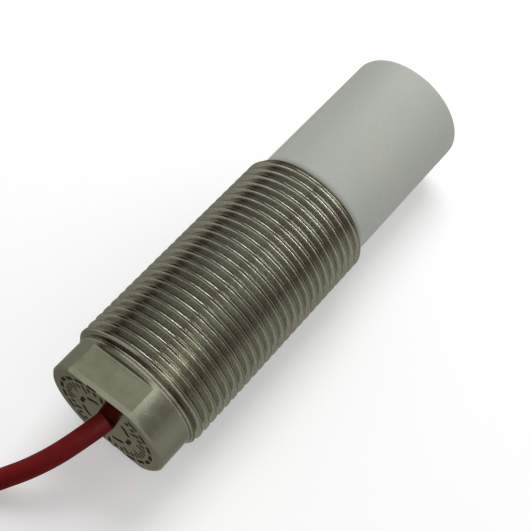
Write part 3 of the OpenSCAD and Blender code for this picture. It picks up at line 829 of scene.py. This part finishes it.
# Finishes of the barrel's faces, and what tells them apart: a small distance, two radii, and how much
# of a face's normal lies along an axis
THREADED, TURNED, MILLED_FLAT, REAR_FACE, MARKED = range(5)
NEAR = 0.01 * MM
FLATS_INNER_R = COLLAR_R - 3 * MM
OUTSIDE_R = BORE_R + 1 * MM
FULL, SOME, NONE = 0.999, 0.01, 0.001


def finish_kind(centre, normal):
    """Which of the barrel's finishes a face has, from its place and the way it looks."""
    r = math.hypot(centre.y, centre.z - AXIS_Z)
    sunk = REAR_X + NEAR < centre.x < REAR_X + MARK_DEPTH + NEAR
    if sunk and MARKS_INNER_R < r < MARKS_OUTER_R and not NONE < abs(normal.x) < FULL:
        return MARKED
    if abs(normal.x) > FULL and centre.x < REAR_X + NEAR:
        return REAR_FACE
    in_flats = centre.x < REAR_X + FLATS_L + NEAR and r > FLATS_INNER_R
    if in_flats and abs(normal.y) < NONE and abs(normal.z) > SOME:
        return MILLED_FLAT
    if in_flats and normal.x < -FULL:
        return THREADED
    if centre.x > THREAD_START_X and r > OUTSIDE_R:
        return THREADED
    return TURNED


def make_barrel():
    mesh = barrel_mesh()
    mesh.materials.clear()
    kinds = [finish_kind(face.center, face.normal) for face in mesh.polygons]
    finishes = [thread_metal(), turned_metal(), milled_metal(), face_metal(), mark_metal()]
    barrel = link("threaded_barrel", mesh, *finishes)
    mesh.polygons.foreach_set("material_index", kinds)
    sharpen(mesh, BARREL_SHARP)
    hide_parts("barrel")


def make_head():
    """Sensing head: a cup with a rounded face edge, its shank in the barrel's bore."""
    pocket_x = FRONT_X - FACE_T
    edge_centre = (FRONT_X - HEAD_EDGE_R, HEAD_R - HEAD_EDGE_R)
    mesh = revolve("sensing_cup", [
        (HEAD_LOW.x, HEAD_BORE_R),
        (HEAD_LOW.x, BORE_R),
        (MOUTH_X, BORE_R),
        (MOUTH_X, HEAD_R),
        *arc(edge_centre, HEAD_EDGE_R, 90, 0, HEAD_EDGE_POINTS),
        (FRONT_X, 0),
        (pocket_x, 0),
        (pocket_x, HEAD_BORE_R),
    ])
    head = link("sensing_cup", mesh, head_plastic())
    sharpen(mesh, BARREL_SHARP)
    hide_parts("sensing_head")


def make_cord():
    """The whole free cable, its leads and its ties."""
    line = np.vstack([
        smooth_line(CABLE_ROUTE, CABLE_STEP)[:-1],
        hank_line(CABLE_STEP),
        smooth_line(CABLE_END_ROUTE, CABLE_STEP),
    ])
    cable = round_curve("sheath", line, CABLE_D, cable_sheath(), CABLE_SIDES)
    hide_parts("cable", "cable_hank", "cable_end")
    pieces = [make_lead(name) for name in LEAD_ROUTES]
    pieces += [make_strands(), *make_ties()]


def make_lead(name):
    finish = mottled(f"core_{name}", *LEAD_COLORS[name], 0.4)
    line = smooth_line(LEAD_ROUTES[name], LEAD_STEP)
    lead = round_curve(f"insulated_lead_{name}", line, LEAD_D, finish, LEAD_SIDES)
    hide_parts(f"lead_{name}")
    return lead


def wire(centres, r):
    """Closed wire along X through a row of centres, as points and faces."""
    sides = WIRE_SIDES
    angles = 2 * math.pi * np.arange(sides) / sides
    ring = [np.array([0, r * math.cos(a), r * math.sin(a)]) for a in angles]
    points = [centre + out for centre in centres for out in ring]
    last = (len(centres) - 1) * sides
    faces = [tuple(range(sides)), tuple(last + s for s in reversed(range(sides)))]
    for at in range(0, last, sides):
        for s in range(sides):
            a, b = at + s, at + (s + 1) % sides
            faces.append((a, b, b + sides, a + sides))
    return points, faces


def make_strands():
    """Tinned ends of the three leads: on each, six wires twisted once round a seventh."""
    wire_r = TIN_D / 6
    wires = []
    for route in LEAD_ROUTES.values():
        for k in range(OUTER_WIRES + 1):
            twist_r = 2 * wire_r if k < OUTER_WIRES else 0
            centres = []
            for share in np.arange(TIN_RINGS) / (TIN_RINGS - 1):
                turn = 2 * math.pi * (k / OUTER_WIRES + share)
                centres.append(np.array(route[-1]) + np.array(
                    [-share * TIN_L, twist_r * math.cos(turn), twist_r * math.sin(turn)]
                ))
            wires.append(wire(centres, wire_r))
    dark, light = (0.4, 0.39, 0.36), (0.58, 0.57, 0.53)
    copper = mottled("tinned_copper", dark, light, 0.35, 1.0, 2500, 0.02, (0.1, 1, 1))
    piece = link("tinned_strands", mesh_from("tinned_strands", *gather(wires)), copper)
    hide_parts("tinned_ends")
    return piece


def bevelled_block(name, low, high, bevel):
    """A block with rounded edges."""
    mesh = block(name, low, high)
    reshape(mesh, lambda made: bmesh.ops.bevel(
        made, geom=made.edges[:], offset=bevel, segments=3, profile=0.5, affect="EDGES"
    ))
    return mesh


def corners_at(place, corners):
    """Corners given in millimetres from a place."""
    return [tuple(p + c * MM for p, c in zip(place, corner)) for corner in corners]


def band_outline(half_y, half_z, r):
    """Rounded rectangle as points (y, z)."""
    points = []
    for side_y, side_z, start in ((1, 1, 0), (-1, 1, 90), (-1, -1, 180), (1, -1, 270)):
        centre = (side_y * (half_y - r), side_z * (half_z - r))
        points += arc(centre, r, start, start + 90, TIE_CORNER_POINTS)
    return points


def tie_band(middle, half_y, half_z):
    """Flat band bent round one straight side of the hank, with eased outer edges."""
    side = [(0, TIE_W / 2), (TIE_T - TIE_EDGE, TIE_W / 2), (TIE_T, TIE_W / 2 - TIE_EDGE)]
    rows = side + [(out, -half) for out, half in reversed(side)]
    points, faces = [], []
    for out, x in rows:
        inset = TIE_T - out
        outline = band_outline(half_y - inset, half_z - inset, TIE_CORNER_R + out)
        points += [(middle[0] + x, middle[1] + y, middle[2] + z) for y, z in outline]
    count = len(points) // len(rows)
    for row in range(len(rows)):
        after = (row + 1) % len(rows)
        for k in range(count):
            m = (k + 1) % count
            faces.append((row * count + k, row * count + m, after * count + m, after * count + k))
    return mesh_from("band", points, faces)


def tie_lock(low_x, high_x, y, top):
    """Lock of a tie: a rounded block with a slot in its top, and the pawl in the slot."""
    low = (low_x, y - LOCK_L / 2, top - LOCK_H - LOCK_SEAT)
    body = bevelled_block("lock", low, (high_x, y + LOCK_L / 2, top), LOCK_BEVEL)
    middle = ((low_x + high_x) / 2, y, top)
    slot = block("slot", *corners_at(middle, SLOT_CORNERS))
    pawl = bevelled_block("pawl", *corners_at(middle, PAWL_CORNERS), PAWL_BEVEL)
    return [combine(body, [("DIFFERENCE", slot)]), pawl]


def tie_tail(x, lock_y, z, side):
    """Trimmed end of a tie, which stands out of its lock with teeth on its upper face."""
    end = lock_y - side * (LOCK_L / 2 + TAIL_L)
    root = lock_y - side * (LOCK_L / 2 - TAIL_ROOT_L)
    top = z + TIE_T / 2
    low = (x - TIE_W / 2, min(end, root), z - TIE_T / 2)
    high = (x + TIE_W / 2, max(end, root), top - TOOTH_PROUD)
    blocks = [bevelled_block("tail", low, high, TAIL_BEVEL)]
    for k in range(TEETH):
        place = (x, end + side * (FIRST_TOOTH + k * TOOTH_PITCH), top)
        blocks.append(bevelled_block("tooth", *corners_at(place, TOOTH_CORNERS), TOOTH_BEVEL))
    return blocks


def make_tie(name, side, material):
    """Cable tie: band, lock and tail. The lock is off the middle of the band, towards one side."""
    low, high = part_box(name)
    x, y = (low.x + high.x) / 2, (low.y + high.y) / 2
    band_top = high.z - LOCK_H
    lock_y = y + side * LOCK_SHIFT
    band = tie_band((x, y, (low.z + band_top) / 2), (high.y - low.y) / 2, (band_top - low.z) / 2)
    lock = tie_lock(low.x, high.x, lock_y, high.z)
    tail = tie_tail(x, lock_y, band_top + LOCK_H / 2, side)
    made = bmesh.new()
    for mesh in [band, *lock, *tail]:
        made.from_mesh(mesh)
    whole = bpy.data.meshes.new(name + "_band")
    made.to_mesh(whole)
    made.free()
    sharpen(whole, TIE_SHARP)
    tie = link(name.replace("hank", "cable", 1), whole, material)
    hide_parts(name)
    return tie


def make_ties():
    nylon = mottled("tie_plastic", (0.01, 0.01, 0.011), (0.018, 0.018, 0.019), 0.45)
    return [make_tie("hank_tie_left", 1, nylon), make_tie("hank_tie_right", -1, nylon)]


# Finishes of the pieces inside: dark and light colour, roughness, metallic and their nodes
INNER_FINISHES = {
    "seal_rubber": (
        (0.008, 0.008, 0.008), (0.016, 0.016, 0.016), 0.6, 0,
        ["front_seal", "rear_seal", "cable_grommet"],
    ),
    "brass": (
        (0.6, 0.4, 0.14), (0.74, 0.52, 0.2), 0.3, 1,
        ["sensing_electrode", "guard_cup", "contact_pin"],
    ),
    "spacer_plastic": (
        (0.7, 0.66, 0.54), (0.8, 0.76, 0.64), 0.5, 0,
        ["electrode_spacer", "pin_bush", "board_sleeve"],
    ),
    "chip_plastic": (
        (0.012, 0.012, 0.013), (0.022, 0.022, 0.024), 0.5, 0,
        ["oscillator_chip", "signal_chip", "output_transistor", "voltage_regulator",
         "protection_diode", "pin_header"],
    ),
    "chip_ceramic": (
        (0.4, 0.3, 0.17), (0.5, 0.38, 0.22), 0.4, 0,
        ["tuning_capacitors", "chip_resistors", "chip_capacitors"],
    ),
    "can_metal": ((0.48, 0.49, 0.51), (0.6, 0.61, 0.63), 0.3, 1, ["filter_capacitor"]),
    "pin_metal": ((0.6, 0.58, 0.5), (0.7, 0.68, 0.6), 0.25, 1, ["board_pins"]),
    "holder_plastic": (
        (0.045, 0.045, 0.05), (0.06, 0.06, 0.065), 0.5, 0,
        ["front_board_holder", "rear_board_holder", "choke_coil"],
    ),
    "resin": ((0.025, 0.025, 0.02), (0.04, 0.04, 0.034), 0.35, 0, ["resin_filling"]),
    "crimp_metal": ((0.42, 0.42, 0.4), (0.52, 0.52, 0.49), 0.35, 1, ["crimp_ring", "clamp_washer"]),
}


def finish_nodes():
    """Finishes of the nodes that stay as they are in the frame."""
    def give(material, names):
        for name in names:
            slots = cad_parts[name].data.materials
            slots.clear()
            slots.append(material)

    for name, (dark, light, roughness, metallic, nodes) in INNER_FINISHES.items():
        give(mottled(name, dark, light, roughness, metallic), nodes)
    for name, (dark, light) in LEAD_COLORS.items():
        give(mottled(f"core_{name}_inner", dark, light, 0.4), [f"core_{name}"])
    give(board_material(), ["oscillator_board", "main_board"])
    give(bpy.data.materials["cable_sheath"], ["cable_entry"])


# Stage: a white world, which looks brighter than it lights the sensor, and a pale floor, whose glow
# rises between two distances from the origin
WORLD_LIGHT = 0.46
FLOOR_REACH = 3
FLOOR_GLOW = (0.3, 0.75)
FLOOR_GLOW_SPAN = (0.25, 1.2)
# Lamps: place, size and power in watts
LAMPS = {
    "key": ((0.36, 0.09, 0.62), 0.4, 2.55),
    "side": ((0.72, -0.28, 0.12), 0.3, 1.7),
}


def backdrop_rays(tree):
    """1 for rays from the camera, off gloss and through glass, which see the white backdrop."""
    path = add_node(tree, "LightPath").outputs
    seen = calculate(tree, "MAXIMUM", path["Is Camera Ray"], path["Is Glossy Ray"])
    return calculate(tree, "MAXIMUM", seen, path["Is Transmission Ray"])


def make_world():
    world = bpy.data.worlds.new("studio")
    bpy.context.scene.world = world
    world.use_nodes = True
    tree = world.node_tree
    background = next(n for n in tree.nodes if n.type == "BACKGROUND")
    strength = rescale(tree, backdrop_rays(tree), WORLD_LIGHT, 1, 0, 1)
    feed(tree, background, {"Color": WHITE, "Strength": strength})


def square(reach, height):
    """Points of a level square, and its one face."""
    sides = ((-1, -1), (1, -1), (1, 1), (-1, 1))
    return [(x * reach, y * reach, height) for x, y in sides], [(0, 1, 2, 3)]


def make_floor():
    """Pale floor that keeps the shadow and turns white away from the sensor."""
    floor = add_object("floor", mesh_from("floor", *square(FLOOR_REACH, 0)))
    made, tree, shader = new_material("floor", (0.8, 0.8, 0.8), 0.9, values={"Specular IOR Level": 0})
    away = add_node(tree, "VectorMath", {0: own_place(tree)}, operation="LENGTH").outputs["Value"]
    rising = rescale(tree, away, *FLOOR_GLOW, *FLOOR_GLOW_SPAN)
    glow = calculate(tree, "MULTIPLY", backdrop_rays(tree), rising)
    feed(tree, shader, {"Emission Color": WHITE, "Emission Strength": glow})
    floor.data.materials.append(made)


def make_lamps():
    """Soft lamps aimed at the middle of the sensor."""
    for name, (place, size, power) in LAMPS.items():
        data = bpy.data.lights.new(name, "AREA")
        data.size = size
        data.energy = power
        lamp = add_object(name, data)
        lamp.location = place
        point(lamp, Vector(place) - Vector((0, 0, AXIS_Z)))
        lamp.visible_glossy = False


# Reflection cards, seen only by glossy rays. A tent over the sensor has shades at angles from +Z
# towards -Y, in degrees, and so has its end beyond the sensing face and a small card at the collar.
TENT_R = 0.5
TENT_X = (-0.6, 0.29)
TENT_END_X = (0.29, 0.62)
TENT_ANGLES = (-91, 91)
CARD_ROWS = 25
TENT_SHADES = [
    (-90, (0.7, 0.7, 0.67)),
    (-81, (0.36, 0.33, 0.28)),
    (-75, (0.08, 0.055, 0.04)),
    (-67, (0.08, 0.055, 0.04)),
    (-58, (0.34, 0.32, 0.29)),
    (-38, (0.42, 0.41, 0.39)),
    (-22, (0.52, 0.52, 0.5)),
    (-8, (0.62, 0.62, 0.6)),
    (2, (0.55, 0.55, 0.53)),
    (10, (0.33, 0.33, 0.31)),
    (34, (0.25, 0.25, 0.24)),
    (52, (0.24, 0.24, 0.22)),
    (70, (0.25, 0.23, 0.2)),
    (90, (0.2, 0.17, 0.14)),
]
END_SHADES = [
    (-90, (0.3, 0.28, 0.25)),
    (-64, (0.25, 0.22, 0.19)),
    (-34, (0.25, 0.24, 0.22)),
    (-18, (0.4, 0.4, 0.37)),
    (-8, (0.54, 0.54, 0.51)),
    (4, (0.5, 0.5, 0.47)),
    (15, (0.52, 0.52, 0.49)),
    (19, (1.5, 1.5, 1.43)),
    (35, (2.15, 2.15, 2.06)),
    (53, (1.35, 1.35, 1.27)),
    (69, (0.55, 0.52, 0.46)),
    (85, (0.16, 0.13, 0.105)),
]
COLLAR_CARD_R = 0.045
COLLAR_CARD_X = (-0.045, -0.024)
COLLAR_CARD_ANGLES = (30, 88)
COLLAR_SHADES = [
    (30, (0.6, 0.6, 0.58)),
    (35, (1.35, 1.35, 1.3)),
    (45, (1.35, 1.35, 1.3)),
    (49, (0.45, 0.45, 0.41)),
    (60, (0.42, 0.41, 0.37)),
    (66, (0.33, 0.32, 0.28)),
    (77, (0.3, 0.29, 0.23)),
    (83, (0.46, 0.46, 0.42)),
]
# Bright cards behind the sensor, by their angles and strength, and in front of it, by Y and strength
BRIGHT = (1, 1, 0.98)
REAR_CARD_R = 0.42
REAR_CARD_X = (-0.3, -0.06)
REAR_CARDS = {"rear_strip": ((14, 56), 11), "rear_fade": ((56, 78), 4), "rear_glow": ((-20, 14), 1.4)}
FRONT_CARD_X = 0.5
FRONT_CARD_Z = (AXIS_Z + 0.13, AXIS_Z + 0.36)
FRONT_CARDS = {"front_strip": ((0.015, 0.16), 7.5), "front_fade": ((0.16, 0.3), 3.6)}
# Plain card across the end of the tent
END_CARD_Y = (-0.6, 0.6)
END_CARD_Z = (0, AXIS_Z + 0.6)
END_CARD_SHADE = (0.34, 0.34, 0.32)
# Card on the table, with shades at places along Y
TABLE_CARD_REACH = 0.6
TABLE_CARD_Z = 0.0005
TABLE_SHADES = [
    (-0.5, (0.2, 0.17, 0.14)),
    (-0.3, (0.24, 0.21, 0.18)),
    (-0.19, (0.42, 0.4, 0.37)),
    (-0.095, (0.5, 0.5, 0.47)),
    (-0.055, (0.6, 0.6, 0.57)),
    (-0.032, (0.56, 0.56, 0.53)),
    (-0.022, (0.42, 0.42, 0.39)),
    (0.03, (0.32, 0.32, 0.29)),
    (0.06, (0.42, 0.42, 0.38)),
    (0.1, (0.5, 0.5, 0.46)),
]


def glow_material(name, shade, strength=1.0):
    """A surface that only glows. Its shade is a colour, or a function that makes one in a node tree."""
    made, tree, shader = new_material(name, BLACK, 1.0, values={"Specular IOR Level": 0})
    color = shade(tree) if callable(shade) else shade
    feed(tree, shader, {"Emission Color": color, "Emission Strength": strength})
    return made


def shades_by_angle(shades):
    """Shades at angles about the axis of the barrel, in degrees from +Z towards -Y."""
    def make(tree):
        parts = add_node(tree, "SeparateXYZ", {0: place_from_axis(tree)}).outputs
        turn = calculate(tree, "ARCTAN2", parts["Y"], parts["Z"])
        share = rescale(tree, turn, 1, 0, -math.pi / 2, math.pi / 2)
        return ramp(tree, share, [((angle + 90) / 180, shade) for angle, shade in shades])
    return make


def shades_along_y(shades, reach):
    """Shades at places along Y, between -reach and reach."""
    def make(tree):
        share = along(tree, "Y", -reach, reach)
        return ramp(tree, share, [((y + reach) / (2 * reach), shade) for y, shade in shades])
    return make


def place_card(name, points, faces, material):
    card = add_object(name, mesh_from(name, points, faces))
    card.data.materials.append(material)
    card.visible_camera = False
    card.visible_diffuse = False
    card.visible_shadow = False
    card.visible_transmission = False


def curved_card(name, r, span_x, angles, material):
    """Part of a cylinder about the axis of the barrel, between two angles from +Z towards -Y."""
    turns = np.radians(np.linspace(*angles, CARD_ROWS))
    points = [(x, -r * math.sin(a), AXIS_Z + r * math.cos(a)) for a in turns for x in span_x]
    faces = [(2 * k, 2 * k + 1, 2 * k + 3, 2 * k + 2) for k in range(len(turns) - 1)]
    place_card(name, points, faces, material)


def upright_card(name, x, span_y, span_z, material):
    """A rectangle across the barrel's direction."""
    (y0, y1), (z0, z1) = span_y, span_z
    place_card(name, [(x, y0, z0), (x, y1, z0), (x, y1, z1), (x, y0, z1)], [(0, 1, 2, 3)], material)


def make_cards():
    tent = glow_material("tent", shades_by_angle(TENT_SHADES))
    curved_card("tent", TENT_R, TENT_X, TENT_ANGLES, tent)
    tent_end = glow_material("tent_end", shades_by_angle(END_SHADES))
    curved_card("tent_end", TENT_R, TENT_END_X, TENT_ANGLES, tent_end)
    collar = glow_material("collar_card", shades_by_angle(COLLAR_SHADES))
    curved_card("collar_card", COLLAR_CARD_R, COLLAR_CARD_X, COLLAR_CARD_ANGLES, collar)
    for name, (angles, strength) in REAR_CARDS.items():
        curved_card(name, REAR_CARD_R, REAR_CARD_X, angles, glow_material(name, BRIGHT, strength))
    end = glow_material("end_card", END_CARD_SHADE)
    upright_card("end_card", TENT_END_X[1], END_CARD_Y, END_CARD_Z, end)
    for name, (span_y, strength) in FRONT_CARDS.items():
        upright_card(name, FRONT_CARD_X, span_y, FRONT_CARD_Z, glow_material(name, BRIGHT, strength))
    table = glow_material("table_card", shades_along_y(TABLE_SHADES, TABLE_CARD_REACH))
    place_card("table_card", *square(TABLE_CARD_REACH, TABLE_CARD_Z), table)


make_camera()
make_cord()
make_barrel()
make_head()
finish_nodes()
make_world()
make_floor()
make_lamps()
make_cards()
bpy.context.scene.view_settings.view_transform = "Standard"
